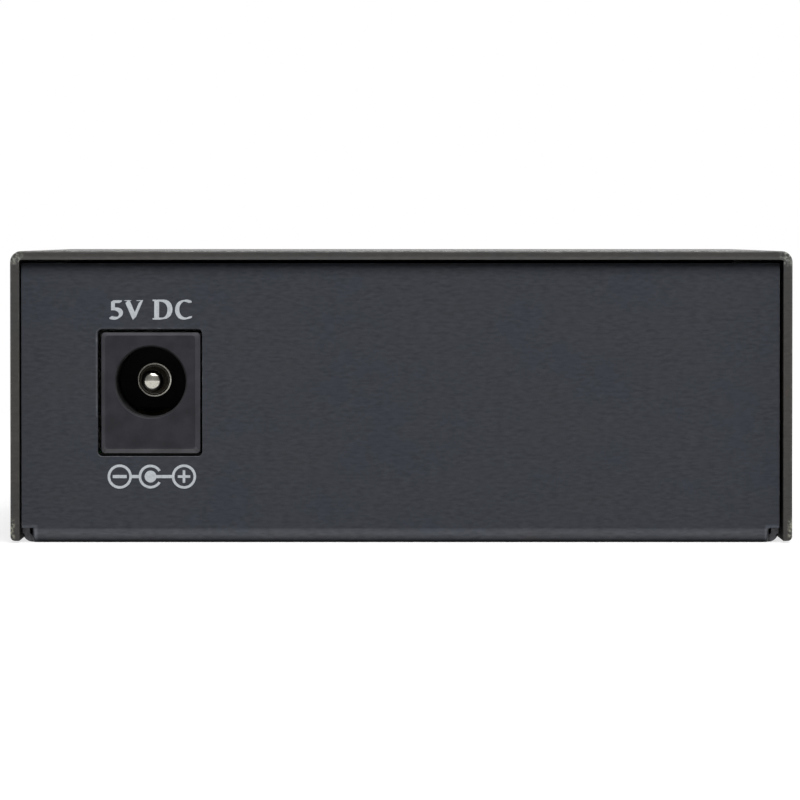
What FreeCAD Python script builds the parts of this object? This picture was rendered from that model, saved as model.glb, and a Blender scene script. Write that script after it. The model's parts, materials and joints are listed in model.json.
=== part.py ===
import FreeCAD, Part
import math
import os
from FreeCAD import Vector

# A compact fibre media converter in a folded steel case. X runs across the case, Y from the power end at -Y
# to the port end at +Y, and Z up. The origin is under the middle of the case, on the surface it stands on.
# All sizes are in millimetres. Heights of board parts are measured up from the circuit board's top face, and
# depths of the jack and the ports are measured inward from their own front face.

# Case: a U-shaped cover over a folded tray
case_width = 71.0
case_depth = 94.0
case_height = 26.5
sheet = 0.8
cover_bend = 0.2
cover_lift = 0.18
cover_edge_round = 0.4
tray_bend = 0.45
flange_bend = 0.1
port_panel_side_gap = 0.03
panel_recess = 0.9
panel_top_gap = 0.3
tray_gap_left = 0.17
tray_gap_right = 0.31
flange_height = 8.6
flange_end_gap = 0.9
relief_margin = 0.09

# Ventilation slots in the cover's sides
vent_count = 9
vent_width = 1.6
vent_length = 9.0
vent_pitch = 3.6
vent_height = 16.5

# Countersunk screws through the cover's sides into the tray's flanges
cover_screw_radius = 1.25
cover_screw_head_radius = 2.0
cover_screw_length = 5.0
cover_screw_height = 4.0
cover_screw_end_distance = 14.0
countersink_clearance = 0.1
thread_gap = 0.02

# Circuit board on press-in posts
board_thickness = 1.6
board_side_gap = 0.9
board_end_gap = 0.5
post_height = 5.7
post_across_flats = 5.0
post_edge_distance = 4.3
post_behind_jack = 4.9
post_behind_port = 6.2
board_screw_radius = 1.5
board_screw_head_radius = 2.75
board_screw_head_height = 1.8
board_screw_length = 5.0
board_screw_hole_clearance = 0.2
screw_tip_room = 0.5
pin_reach = 1.4
pin_hole_clearance = 0.2

# DC jack
jack_side_distance = 12.73
jack_width = 9.0
jack_height = 11.0
jack_length = 14.2
jack_bezel_depth = 3.4
jack_bezel_chamfer = 0.3
jack_cutout_clearance = 0.25
jack_cutout_round = 0.4
jack_axis_height = 6.5
jack_bore_radius = 3.18
jack_bore_chamfer = 0.15
jack_bore_depth = 9.8
jack_barrel_wall = 0.9
jack_pin_radius = 1.0
jack_tail_radius = 0.8
jack_pin_tip_depth = 3.0
jack_nose_radius = 0.78
jack_nose_length = 1.0
jack_dome_radius = 2.0
jack_collar_radius = 1.55
jack_collar_height = 0.45
jack_tail_reach = 0.4
strip = 0.3
strip_width = 3.0
strip_bend = 0.25
strip_side_gap = 0.2
spring_leg_depth = 5.0
spring_heel_height = 0.7
spring_crest_depth = 8.4
spring_crest_rise = 0.68
spring_tail_room = 1.5
spring_tail_height = 1.7
shunt_leg_inset = 1.3
contact_overlap = 0.8
contact_gap = 0.05

# Network port: an 8-way modular jack in a folded shield
port_proud = 0.5
port_cutout_clearance = 0.25
network_gap_share = 0.275
network_width = 16.0
network_height = 13.4
network_length = 21.4
shield_sheet = 0.25
insert_gap = 0.05
insert_depth = 15.8
insert_slab = 1.2
plug_width = 11.9
plug_height = 6.9
plug_depth = 14.6
plug_floor_height = 3.2
latch_steps = ((6.3, 1.3), (4.1, 1.0))
shield_window_margin = 0.55
wire_count = 8
wire_pitch = 1.02
wire_width = 0.45
wire_thickness = 0.35
wire_run_height = 11.3
wire_turn_depth = 2.0
wire_turn_drop = 1.0
wire_tip_depth = 8.6
wire_tip_height = 7.7
wire_slot_gap = 0.1
wire_slot_front = 1.7
wire_pin_depth = 17.3
pin_pitch = 2.54
peg_size = 2.8
peg_spread = 11.43
peg_depth = 8.9
peg_clearance = 0.05
shield_tab_width = 1.4
shield_tab_depth = 12.2

# Fibre transceiver: a duplex receptacle with its module behind it
fibre_gap_share = 0.383
module_width = 25.4
module_length = 39.6
module_foot = 0.5
module_wall = 0.9
module_floor = 1.0
module_corner_round = 0.6
receptacle_height = 9.9
receptacle_depth = 15.0
fibre_pitch = 12.7
fibre_port_width = 9.1
fibre_port_height = 7.5
fibre_port_depth = 13.0
fibre_port_wall = 0.75
key_width = 2.6
key_height = 0.9
sleeve_bore_radius = 1.25
sleeve_radius = 2.25
sleeve_tip_depth = 4.8
sleeve_bore_length = 8.7
sleeve_fit_gap = 0.02
can_radius = 3.1
can_length = 5.7
finger_thickness = 0.7
finger_height = 3.2
finger_gap = 0.55
finger_tip_depth = 5.6
finger_hook = 0.45
finger_plate = 1.0
lid_sheet = 0.4
lid_drop = 4.6
lid_gap = 0.05
module_board_height = 4.0
module_board_thickness = 1.0
module_board_length = 16.5
module_board_gap = 0.1
module_ledge = 0.8
module_pin_count = 9
module_pin_size = 0.46
module_pin_inset = 4.1
module_post_size = 1.3
module_foot_size = 2.4
module_post_spread = 20.32

# Indicator lamps in moulded holders
lamp_columns = 3
lamp_gap_share = 0.252
lamp_pitch = 5.5
lamp_heights = (3.4, 9.4)
lamp_width = 3.2
lamp_height = 1.8
lamp_bevel = 0.2
lamp_rim = 0.35
lamp_rim_length = 0.6
lamp_length = 5.6
lamp_proud = 0.3
lamp_hole_clearance = 0.1
lamp_bore_clearance = 0.05
holder_width = 5.0
holder_height = 12.4
holder_depth = 5.0
holder_panel_gap = 0.15
lead_size = 0.5
lead_spread = 2.54
lead_first_bend = 2.4

# Chips and other board parts: their places are shares of the board's half width and half length
chip_share = -0.15
chip_size = 9.0
chip_thickness = 0.9
chip_bevel = 0.1
chip_row_behind_jack = 13.1
chip_row_before_module = 4.3
lead_pitch = 1.27
lead_width = 0.45
lead_thickness = 0.25
lead_reach = 1.0
transformer_share = 0.18
transformer_size = (12.7, 7.1)
transformer_height = 5.6
transformer_lead_count = 8
memory_place = (-0.64, -0.18)
memory_size = (4.9, 3.9)
memory_thickness = 1.45
memory_lead_count = 4
crystal_place = (0.35, -0.18)
crystal_size = (5.0, 3.2)
crystal_base = 0.7
crystal_lid = 0.4
crystal_margin = 0.3
capacitor_place = (0.35, -0.76)
capacitor_radius = 3.15
capacitor_height = 7.7
capacitor_base = 6.6
capacitor_base_height = 1.2
inductor_place = (-0.05, -0.74)
inductor_size = 7.3
inductor_height = 4.0
inductor_corner = 1.6
regulator_place = (-0.35, -0.71)
regulator_size = (6.6, 6.1)
regulator_thickness = 2.3
regulator_tab = 1.0
regulator_lead_pitch = 2.3
regulator_lead_width = 0.8
chip_part_length = 1.6
chip_part_width = 0.8
chip_part_height = 0.45
chip_part_columns = 5
chip_part_pitch = 3.0

# Levels and faces that the sizes above give
board_bottom = sheet + post_height
board_top = board_bottom + board_thickness
pin_bottom = board_bottom - pin_reach
panel_face = case_depth / 2 - panel_recess
panel_inner = panel_face - sheet
panel_top = case_height - sheet - panel_top_gap
flange_end = panel_inner - flange_end_gap
tray_left = -case_width / 2 + sheet + tray_gap_left
tray_right = case_width / 2 - sheet - tray_gap_right
tray_middle = (tray_left + tray_right) / 2
inside_left = tray_left + sheet
inside_right = tray_right - sheet
board_half_width = (inside_right - inside_left) / 2 - board_side_gap
board_half_length = panel_inner - board_end_gap
jack_x = -case_width / 2 + jack_side_distance
jack_face = -panel_face
jack_back = jack_face + jack_length
jack_axis = board_top + jack_axis_height
shunt_leg_depth = jack_length - shunt_leg_inset
spring_tail_depth = shunt_leg_depth - spring_tail_room
shunt_tip_depth = spring_tail_depth - contact_overlap
port_face = panel_face + port_proud
fibre_axis = board_top + module_foot + fibre_port_wall + fibre_port_height / 2

# The front row shares out the width that its three blocks leave inside the tray
lamp_block_width = (lamp_columns - 1) * lamp_pitch + holder_width
row_room = inside_right - inside_left - network_width - module_width - lamp_block_width
network_x = inside_left + network_gap_share * row_room + network_width / 2
fibre_x = network_x + network_width / 2 + fibre_gap_share * row_room + module_width / 2
lamp_x = fibre_x + module_width / 2 + lamp_gap_share * row_room + lamp_block_width / 2

UP = Vector(0, 0, 1)
ALONG = Vector(0, 1, 0)
ACROSS = Vector(1, 0, 0)


def around(middle, size):
    """The span of a size about its middle."""
    return (middle - size / 2, middle + size / 2)


def box(x_span, y_span, z_span):
    """A block given by its span on each axis."""
    corner = Vector(x_span[0], y_span[0], z_span[0])
    return Part.makeBox(x_span[1] - x_span[0], y_span[1] - y_span[0], z_span[1] - z_span[0], corner)


def stub(x, y, x_size, y_size, z_span):
    """An upright block about a place."""
    return box(around(x, x_size), around(y, y_size), z_span)


def rod(radius, x, y, z_span):
    """An upright cylinder."""
    return Part.makeCylinder(radius, z_span[1] - z_span[0], Vector(x, y, z_span[0]), UP)


def bar(radius, x, y_span, z):
    """A cylinder along the case."""
    return Part.makeCylinder(radius, y_span[1] - y_span[0], Vector(x, y_span[0], z), ALONG)


def cone(radii, x, y_span, z):
    """A cone along the case, with its radius at each end of its span."""
    return Part.makeCone(radii[0], radii[1], y_span[1] - y_span[0], Vector(x, y_span[0], z), ALONG)


def side_view(x):
    """Places outline points (y, z) at a station across the case."""
    return lambda y, z: Vector(x, y, z)


def end_view(y):
    """Places outline points (x, z) at a station along the case."""
    return lambda x, z: Vector(x, y, z)


def plan_view(z):
    """Places outline points (x, y) at a level."""
    return lambda x, y: Vector(x, y, z)


def prism(outline, place, draw):
    """A straight-edged outline drawn out along a vector."""
    corners = [place(u, v) for u, v in outline]
    return Part.Face(Part.makePolygon(corners + corners[:1])).extrude(draw)


def strip_side(line, offset, middle_radius, place):
    """The edges along one side of a folded strip: straight runs joined by its bends."""
    points = [Vector(u, v, 0) for u, v in line]
    ways = [(end - start).normalize() for start, end in zip(points, points[1:])]
    normals = [Vector(-way.y, way.x, 0) for way in ways]
    here = points[0] + normals[0] * offset
    edges = []
    for i, corner in enumerate(points[1:-1]):
        way_in, way_out = ways[i], ways[i + 1]
        turn = math.atan2(way_in.cross(way_out).z, way_in.dot(way_out))
        hand = math.copysign(1, turn)
        run = middle_radius * math.tan(abs(turn) / 2)
        centre = corner - way_in * run + normals[i] * (hand * middle_radius)
        outward = (corner - centre).normalize()
        bend_start = corner - way_in * run + normals[i] * offset
        bend_middle = centre + outward * (middle_radius - hand * offset)
        bend_end = corner + way_out * run + normals[i + 1] * offset
        edges.append(Part.LineSegment(place(here.x, here.y), place(bend_start.x, bend_start.y)).toShape())
        bend = [place(p.x, p.y) for p in (bend_start, bend_middle, bend_end)]
        edges.append(Part.Arc(*bend).toShape())
        here = bend_end
    last = points[-1] + normals[-1] * offset
    edges.append(Part.LineSegment(place(here.x, here.y), place(last.x, last.y)).toShape())
    return edges


def folded(line, thickness, inside_radius, place, draw):
    """A strip of even thickness folded along its middle line, then drawn out along a vector."""
    middle_radius = inside_radius + thickness / 2
    left = strip_side(line, thickness / 2, middle_radius, place)
    right = strip_side(line, -thickness / 2, middle_radius, place)
    caps = []
    for index in (0, -1):
        ends = [side[index].Vertexes[index].Point for side in (left, right)]
        caps.append(Part.LineSegment(*ends).toShape())
    wire = Part.Wire(Part.__sortEdges__(left + caps + right))
    return Part.Face(wire).extrude(draw)


def mitred(line, thickness, place, draw):
    """A strip of even thickness folded with sharp corners along its middle line, then drawn out."""
    points = [Vector(u, v, 0) for u, v in line]
    ways = [(end - start).normalize() for start, end in zip(points, points[1:])]
    normals = [Vector(-way.y, way.x, 0) for way in ways]
    offsets = [normals[0]]
    for before, after in zip(normals, normals[1:]):
        offsets.append((before + after) * (1 / (1 + before.dot(after))))
    offsets.append(normals[-1])
    left = [point + offset * (thickness / 2) for point, offset in zip(points, offsets)]
    right = [point - offset * (thickness / 2) for point, offset in zip(points, offsets)]
    return prism([(p.x, p.y) for p in left + right[::-1]], place, draw)


def rounded(shape, axis, radius):
    """The shape with every straight edge along an axis rounded."""
    straight = [e for e in shape.Edges if isinstance(e.Curve, Part.Line)]
    return shape.makeFillet(radius, [e for e in straight if abs(e.Curve.Direction.dot(axis)) > 0.999])


def turned(profile, place, base, axis):
    """A closed half profile turned about an axis."""
    corners = [place(u, v) for u, v in profile]
    return Part.Face(Part.makePolygon(corners + corners[:1])).revolve(base, axis, 360)


def joined(shapes):
    """One shape from several that touch or overlap, with its flat faces merged."""
    return shapes[0].fuse(shapes[1:]).removeSplitter()


def group(shapes):
    """Separate solids of one node."""
    return Part.makeCompound(shapes)


# ---- Case ----


def cover_screw_places():
    """Each cover screw: which side of the case it is on, and its place along the case."""
    reach = case_depth / 2 - cover_screw_end_distance
    return [(side, y) for side in (-1, 1) for y in (-reach, reach)]


def side_cone(side, face_x, y, depth_span, radii):
    """A cone or cylinder that runs inward from a side face of the case."""
    inward = Vector(-side, 0, 0)
    base = Vector(face_x - side * depth_span[0], y, cover_screw_height)
    length = depth_span[1] - depth_span[0]
    if radii[0] == radii[1]:
        return Part.makeCylinder(radii[0], length, base, inward)
    return Part.makeCone(radii[0], radii[1], length, base, inward)


def top_cover():
    """One sheet folded over the case: a top and two sides, slotted for air and countersunk for its screws."""
    wall_x = case_width / 2 - sheet / 2
    top_z = case_height - sheet / 2
    line = [(-wall_x, cover_lift), (-wall_x, top_z), (wall_x, top_z), (wall_x, cover_lift)]
    shell = folded(line, sheet, cover_bend, end_view(-case_depth / 2), ALONG * case_depth)
    lower_edges = []
    for edge in shell.Edges:
        middle = edge.CenterOfMass
        outer = abs(abs(middle.x) - case_width / 2) < 1e-6
        if outer and abs(middle.z - cover_lift) < 1e-6:
            lower_edges.append(edge)
    shell = shell.makeFillet(cover_edge_round, lower_edges)
    cutters = []
    for i in range(vent_count):
        y = (i - (vent_count - 1) / 2) * vent_pitch
        slot_z = around(vent_height, vent_length)
        cutters.append(box(around(0, 2 * case_width), around(y, vent_width), slot_z))
    rim = cover_screw_head_radius + countersink_clearance
    for side, y in cover_screw_places():
        cutters.append(side_cone(side, side * case_width / 2, y, (0, sheet), (rim, rim - sheet)))
    return shell.cut(cutters)


def tray_side_face(side):
    """The X of the tray's outer face on one side."""
    return tray_left if side < 0 else tray_right


def base_tray():
    """One sheet folded up at its four edges, with open corners, windows, and holes for posts and screws."""
    end_line = [(-panel_face + sheet / 2, panel_top), (-panel_face + sheet / 2, sheet / 2),
                (panel_face - sheet / 2, sheet / 2), (panel_face - sheet / 2, panel_top)]
    side_line = [(tray_left + sheet / 2, flange_height), (tray_left + sheet / 2, sheet / 2),
                 (tray_right - sheet / 2, sheet / 2), (tray_right - sheet / 2, flange_height)]
    ends = folded(end_line, sheet, tray_bend, side_view(tray_left), ACROSS * (tray_right - tray_left))
    sides = folded(side_line, sheet, flange_bend, end_view(-flange_end), ALONG * (2 * flange_end))
    relief_width = sheet + flange_bend + relief_margin
    relief_height = sheet + tray_bend + relief_margin
    corners = []
    for x_span in ((tray_left - 1, tray_left + relief_width), (tray_right - relief_width, tray_right + 1)):
        corners.append(box(x_span, (-panel_face - 1, panel_face + 1), (-1, relief_height)))
    port_panel_reach = case_width / 2 - sheet - port_panel_side_gap
    borders = [box(x_span, (panel_inner, panel_face), (relief_height, panel_top))
               for x_span in ((-port_panel_reach, tray_left), (tray_right, port_panel_reach))]
    tray = joined([ends.cut(corners), sides] + borders)

    hole = cover_screw_radius + thread_gap
    cutters = [hexagon(x, y, (-1, sheet + 1)) for x, y in post_places()]
    for side, y in cover_screw_places():
        cutters.append(side_cone(side, tray_side_face(side), y, (-1, sheet + 1), (hole, hole)))
    rear = (-panel_face - 1, -panel_inner + 0.1)
    front = (panel_inner - 0.1, panel_face + 1)
    jack_window = box(around(jack_x + tray_middle, jack_width + 2 * jack_cutout_clearance), rear,
                      (board_top - jack_cutout_clearance, board_top + jack_height + jack_cutout_clearance))
    cutters.append(rounded(jack_window, ALONG, jack_cutout_round))
    gap = port_cutout_clearance
    cutters.append(box(around(network_x, network_width + 2 * gap), front,
                       (board_top - gap, board_top + network_height + gap)))
    module_bottom = board_top + module_foot
    cutters.append(box(around(fibre_x, module_width + 2 * gap), front,
                       (module_bottom - gap, module_bottom + receptacle_height + gap)))
    cutters += [lamp_block(x, z, lamp_hole_clearance, front) for x, z in lamp_places()]
    return tray.cut(cutters)


def cover_screw(side, y):
    """One countersunk screw, its head level with the cover's side."""
    face = side * case_width / 2
    head_depth = cover_screw_head_radius - cover_screw_radius
    head = side_cone(side, face, y, (0, head_depth), (cover_screw_head_radius, cover_screw_radius))
    shank_span = (head_depth, cover_screw_length)
    shank = side_cone(side, face, y, shank_span, (cover_screw_radius, cover_screw_radius))
    return joined([head, shank])


# ---- Circuit board and what holds it ----


def on_board(place):
    """A place on the board from its shares of the half width and half length."""
    return (tray_middle + place[0] * board_half_width, place[1] * board_half_length)


def post_places():
    """The board's four fixing points, behind the jack and behind the network port."""
    reach = board_half_width - post_edge_distance
    rear = jack_back + post_behind_jack
    front = port_face - network_length - post_behind_port
    return [(tray_middle + x, y) for x in (-reach, reach) for y in (rear, front)]


def hexagon(x, y, z_span):
    """A hexagonal block of the posts' section."""
    corner = post_across_flats / math.sqrt(3)
    outline = [(x + corner * math.cos(math.radians(60 * i)), y + corner * math.sin(math.radians(60 * i)))
               for i in range(6)]
    return prism(outline, plan_view(z_span[0]), UP * (z_span[1] - z_span[0]))


def board_post(x, y):
    """A hexagonal threaded post, its foot pressed into the tray's floor and level with its underside."""
    bore_bottom = board_top - board_screw_length - screw_tip_room
    bore = rod(board_screw_radius + thread_gap, x, y, (bore_bottom, board_bottom + 1))
    return hexagon(x, y, (0, board_bottom)).cut(bore)


def board_screw(x, y):
    """A cheese-head screw, seated on the board."""
    head = rod(board_screw_head_radius, x, y, (board_top, board_top + board_screw_head_height))
    shank = rod(board_screw_radius, x, y, (board_top - board_screw_length, board_top + 0.1))
    return joined([head, shank])


def circuit_board():
    """The board, drilled for its screws and slotted for every part whose pins pass through it."""
    plate = box(around(tray_middle, 2 * board_half_width), around(0, 2 * board_half_length),
                (board_bottom, board_top))
    through = (board_bottom - 1, board_top + 1)
    room = 2 * pin_hole_clearance
    holes = [rod(board_screw_radius + board_screw_hole_clearance, x, y, through) for x, y in post_places()]
    peg_hole = peg_size + 2 * peg_clearance
    holes += [stub(x, y, peg_hole, peg_hole, through) for x, y in peg_places()]
    holes += wire_holes(through)
    holes += module_pin_holes(through)
    holes += [stub(x, y, module_post_size + room, module_post_size + room, through)
              for x, y in module_post_places()]
    holes += [stub(x, y, lead_size + room, lead_size + room, through) for x, y in lead_places()]
    holes += [stub(jack_x, y, strip_width + room, strip + room, through) for y in jack_leg_places()]
    for side in (-1, 1):
        tab_x = network_x + side * (network_width - shield_sheet) / 2
        tab_y = port_face - shield_tab_depth
        holes.append(stub(tab_x, tab_y, shield_sheet + room, shield_tab_width + room, through))
    return plate.cut(holes)


# ---- DC jack ----


def jack_leg_places():
    """Where the jack's three terminals pass through the board, along the case."""
    depths = (spring_leg_depth, shunt_leg_depth, jack_length + strip / 2)
    return [jack_face + depth for depth in depths]


def jack_housing():
    """Moulded body: a square bezel, a barrel behind it, the bore, and a channel under it for the contacts."""
    bezel = box(around(jack_x, jack_width), (jack_face, jack_face + jack_bezel_depth),
                (board_top, board_top + jack_height))
    front_edges = [e for e in bezel.Edges if abs(e.CenterOfMass.y - jack_face) < 1e-6]
    bezel = bezel.makeChamfer(jack_bezel_chamfer, front_edges)
    barrel_radius = jack_bore_radius + jack_barrel_wall
    barrel_y = (jack_face + jack_bezel_depth - 0.1, jack_back)
    barrel = bar(barrel_radius, jack_x, barrel_y, jack_axis)
    cheeks = box(around(jack_x, 2 * barrel_radius), barrel_y, (board_top, jack_axis))
    body = joined([bezel, barrel, cheeks])

    bore_back = jack_face + jack_bore_depth
    mouth = jack_bore_radius + jack_bore_chamfer
    channel = strip_width + 2 * strip_side_gap
    spring_y = (jack_face + spring_leg_depth - 2 * strip, bore_back)
    tail_roof = max(spring_top(jack_bore_depth), shunt_level() + strip / 2) + strip_side_gap
    cutters = [
        bar(jack_bore_radius, jack_x, (jack_face - 1, bore_back), jack_axis),
        cone((mouth, jack_bore_radius), jack_x, (jack_face, jack_face + jack_bore_chamfer), jack_axis),
        bar(jack_tail_radius, jack_x, (bore_back - 1, jack_back + 1), jack_axis),
        box(around(jack_x, channel), spring_y, (board_top - 1, jack_axis - jack_bore_radius / 2)),
        box(around(jack_x, channel), (bore_back - 0.1, jack_face + shunt_leg_depth + 2 * strip),
            (board_top - 1, tail_roof)),
    ]
    return body.cut(cutters)


def jack_centre_pin():
    """A turned pin: low-domed nose, collar on the bore's back wall, thinner tail staked in the terminal."""
    bore_back = jack_face + jack_bore_depth
    tip = jack_face + jack_pin_tip_depth
    root = bore_back - jack_collar_height / 2
    nose = cone((jack_nose_radius, jack_pin_radius), jack_x, (tip, tip + jack_nose_length), jack_axis)
    dome = Part.makeSphere(jack_dome_radius, Vector(jack_x, tip + jack_dome_radius, jack_axis))
    return joined([
        nose.common(dome),
        bar(jack_pin_radius, jack_x, (tip + jack_nose_length, root), jack_axis),
        bar(jack_collar_radius, jack_x, (bore_back - jack_collar_height, bore_back), jack_axis),
        bar(jack_tail_radius, jack_x, (root, jack_back + strip + jack_tail_reach), jack_axis),
    ])


def jack_pin_terminal():
    """The strip riveted to the pin's tail, down the back of the jack and through the board."""
    y_span = (jack_back, jack_back + strip)
    plate = box(around(jack_x, strip_width), y_span, (pin_bottom, jack_axis + strip_width / 2))
    return plate.cut(bar(jack_tail_radius, jack_x, (y_span[0] - 1, y_span[1] + 1), jack_axis))


def spring_line():
    """The plug spring's middle line, as (y, z): leg, heel, crest in the bore, and free tail."""
    crest = jack_axis - jack_bore_radius + spring_crest_rise - strip / 2
    return [
        (jack_face + spring_leg_depth, pin_bottom),
        (jack_face + spring_leg_depth, board_top + spring_heel_height),
        (jack_face + spring_crest_depth, crest),
        (jack_face + spring_tail_depth, board_top + spring_tail_height),
    ]


def spring_top(depth):
    """The height of the spring's upper face at a depth between its crest and its tail."""
    crest, tail = spring_line()[2:]
    share = (jack_face + depth - crest[0]) / (tail[0] - crest[0])
    slope = math.atan2(tail[1] - crest[1], tail[0] - crest[0])
    return crest[1] + share * (tail[1] - crest[1]) + strip / 2 / math.cos(slope)


def shunt_level():
    """The height of the shunt contact's finger, which lies over the spring's tail."""
    return spring_top(shunt_tip_depth) + contact_gap + strip / 2


def jack_spring_contact():
    """The bent strip that a plug's sleeve presses down."""
    x = jack_x - strip_width / 2
    return folded(spring_line(), strip, strip_bend, side_view(x), ACROSS * strip_width)


def jack_shunt_contact():
    """The fixed strip that the spring's tail meets while no plug is in."""
    line = [
        (jack_face + shunt_leg_depth, pin_bottom),
        (jack_face + shunt_leg_depth, shunt_level()),
        (jack_face + shunt_tip_depth, shunt_level()),
    ]
    return folded(line, strip, strip_bend, side_view(jack_x - strip_width / 2), ACROSS * strip_width)


# ---- Network port ----


def wire_places():
    """Each contact wire: its place across the case, and the depth of its pin, which alternates."""
    places = []
    for i in range(wire_count):
        x = network_x + (i - (wire_count - 1) / 2) * wire_pitch
        places.append((x, wire_pin_depth + pin_pitch * (i % 2)))
    return places


def wire_holes(z_span):
    """Slots for the contact wires' pins."""
    room = 2 * pin_hole_clearance
    return [stub(x, port_face - depth, wire_width + room, wire_thickness + room, z_span)
            for x, depth in wire_places()]


def peg_places():
    """The two moulded pegs that locate the network port on the board."""
    return [(network_x + side * peg_spread / 2, port_face - peg_depth) for side in (-1, 1)]


def network_port_body():
    """Moulded insert: the plug's cavity with its latch steps, combs for the wires, and locating pegs."""
    skin = shield_sheet + insert_gap
    wide = around(network_x, network_width - 2 * skin)
    roof = board_top + network_height - skin
    cavity_floor = board_top + plug_floor_height
    cavity_roof = cavity_floor + plug_height
    tail = port_face - network_length + skin
    block = box(wide, (port_face - insert_depth, port_face - skin), (board_top, roof))
    roof_slab = box(wide, (tail, port_face - insert_depth + 0.1), (cavity_roof, roof))
    floor_slab = box(wide, (tail, port_face - insert_depth + 0.1), (board_top, board_top + insert_slab))
    pegs = [stub(x, y, peg_size, peg_size, (board_bottom, board_top + 0.1)) for x, y in peg_places()]
    body = joined([block, roof_slab, floor_slab] + pegs)

    mouth = (port_face - plug_depth, port_face + 1)
    cutters = [box(around(network_x, plug_width), mouth, (cavity_floor, cavity_roof))]
    step_top = cavity_floor
    for width, height in latch_steps:
        cutters.append(box(around(network_x, width), mouth, (step_top - height, step_top + 0.1)))
        step_top -= height
    comb_top = board_top + wire_run_height + wire_thickness / 2 + wire_slot_gap
    comb_y = (tail - 1, port_face - wire_slot_front)
    for x, depth in wire_places():
        comb_x = around(x, wire_width + 2 * wire_slot_gap)
        cutters.append(box(comb_x, comb_y, (cavity_roof - 0.1, comb_top)))
    cutters += wire_holes((board_top - 1, board_top + insert_slab + 1))
    return body.cut(cutters)


def network_port_shield():
    """A folded shield: top, sides, back and a framed front, with a tab each side soldered in the board."""
    y_span = (port_face - network_length, port_face)
    z_span = (board_top, board_top + network_height)
    outer = box(around(network_x, network_width), y_span, z_span)
    outer = rounded(outer, ALONG, 2 * shield_sheet)
    inner = box(around(network_x, network_width - 2 * shield_sheet),
                (y_span[0] + shield_sheet, y_span[1] - shield_sheet),
                (board_top - 1, z_span[1] - shield_sheet))
    margin = shield_window_margin
    cavity_floor = board_top + plug_floor_height - sum(height for width, height in latch_steps)
    cavity_roof = board_top + plug_floor_height + plug_height
    window = box(around(network_x, plug_width + 2 * margin), (port_face - 1, port_face + 1),
                 (cavity_floor - margin, cavity_roof + margin))
    floor = box(around(network_x, network_width + 2), (y_span[0] - 1, y_span[1] + 1),
                (board_top - 1, board_top + shield_sheet / 2))
    tabs = []
    for side in (-1, 1):
        tab_x = around(network_x + side * (network_width - shield_sheet) / 2, shield_sheet)
        tab_y = around(port_face - shield_tab_depth, shield_tab_width)
        tabs.append(box(tab_x, tab_y, (pin_bottom, board_top + 2)))
    return joined([outer.cut([inner, window, floor])] + tabs)


def network_contact(x, depth):
    """One wire: pin, riser, run along the roof, short drop, then back and down into the cavity."""
    run = board_top + wire_run_height
    line = [
        (port_face - depth, pin_bottom),
        (port_face - depth, run),
        (port_face - wire_turn_depth, run),
        (port_face - wire_turn_depth, run - wire_turn_drop),
        (port_face - wire_tip_depth, board_top + wire_tip_height),
    ]
    return mitred(line, wire_thickness, side_view(x - wire_width / 2), ACROSS * wire_width)


# ---- Fibre transceiver ----


def fibre_places():
    """The two fibre ports across the case."""
    return [fibre_x + side * fibre_pitch / 2 for side in (-1, 1)]


def module_pin_places():
    """The module's row of pins."""
    y = port_face - module_length + module_pin_inset
    return [(fibre_x + (i - (module_pin_count - 1) / 2) * pin_pitch, y) for i in range(module_pin_count)]


def module_pin_holes(z_span):
    """Square holes for the module's pins."""
    size = module_pin_size + 2 * pin_hole_clearance
    return [stub(x, y, size, size, z_span) for x, y in module_pin_places()]


def module_post_places():
    """The module's two moulded posts."""
    y = port_face - receptacle_depth - module_wall
    return [(fibre_x + side * module_post_spread / 2, y) for side in (-1, 1)]


def transceiver_housing():
    """Moulded duplex receptacle with keyed ports, and the open box of the module behind it."""
    bottom = board_top + module_foot
    receptacle_back = port_face - receptacle_depth
    rear = port_face - module_length + lid_sheet + lid_gap
    box_width = module_width - 2 * (lid_sheet + lid_gap)
    box_top = bottom + receptacle_height - lid_sheet - lid_gap
    receptacle = box(around(fibre_x, module_width), (receptacle_back, port_face),
                     (bottom, bottom + receptacle_height))
    receptacle = rounded(receptacle, ALONG, module_corner_round)
    shell = box(around(fibre_x, box_width), (rear, receptacle_back + 0.1), (bottom, box_top))
    hollow = box(around(fibre_x, box_width - 2 * module_wall), (rear + module_wall, receptacle_back),
                 (bottom + module_floor, box_top + 1))
    ledge_y = (rear + module_wall - 0.1, rear + module_wall + module_board_length)
    ledges = []
    for side in (-1, 1):
        inner_x = fibre_x + side * (box_width / 2 - module_wall)
        ledge_x = sorted((inner_x + side * 0.1, inner_x - side * module_ledge))
        ledges.append(box(ledge_x, ledge_y, (bottom, board_top + module_board_height)))
    supports = []
    for x, y in module_post_places():
        foot_z = (board_top, bottom + 0.1)
        supports.append(stub(x, y, module_foot_size, module_foot_size, foot_z))
        supports.append(stub(x, rear + module_foot_size, module_foot_size, module_foot_size, foot_z))
        supports.append(stub(x, y, module_post_size, module_post_size, (pin_bottom, board_top + 0.1)))
    body = joined([receptacle, shell.cut(hollow)] + ledges + supports)

    cutters = module_pin_holes((board_top, bottom + module_floor + 1))
    for x in fibre_places():
        port_y = (port_face - fibre_port_depth, port_face + 1)
        cutters.append(box(around(x, fibre_port_width), port_y, around(fibre_axis, fibre_port_height)))
        key_z = (fibre_axis, fibre_axis + fibre_port_height / 2 + key_height)
        cutters.append(box(around(x, key_width), port_y, key_z))
        neck_y = (receptacle_back - 0.1, port_face - fibre_port_depth + 0.1)
        cutters.append(bar(sleeve_radius + sleeve_fit_gap, x, neck_y, fibre_axis))
    return body.cut(cutters)


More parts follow.
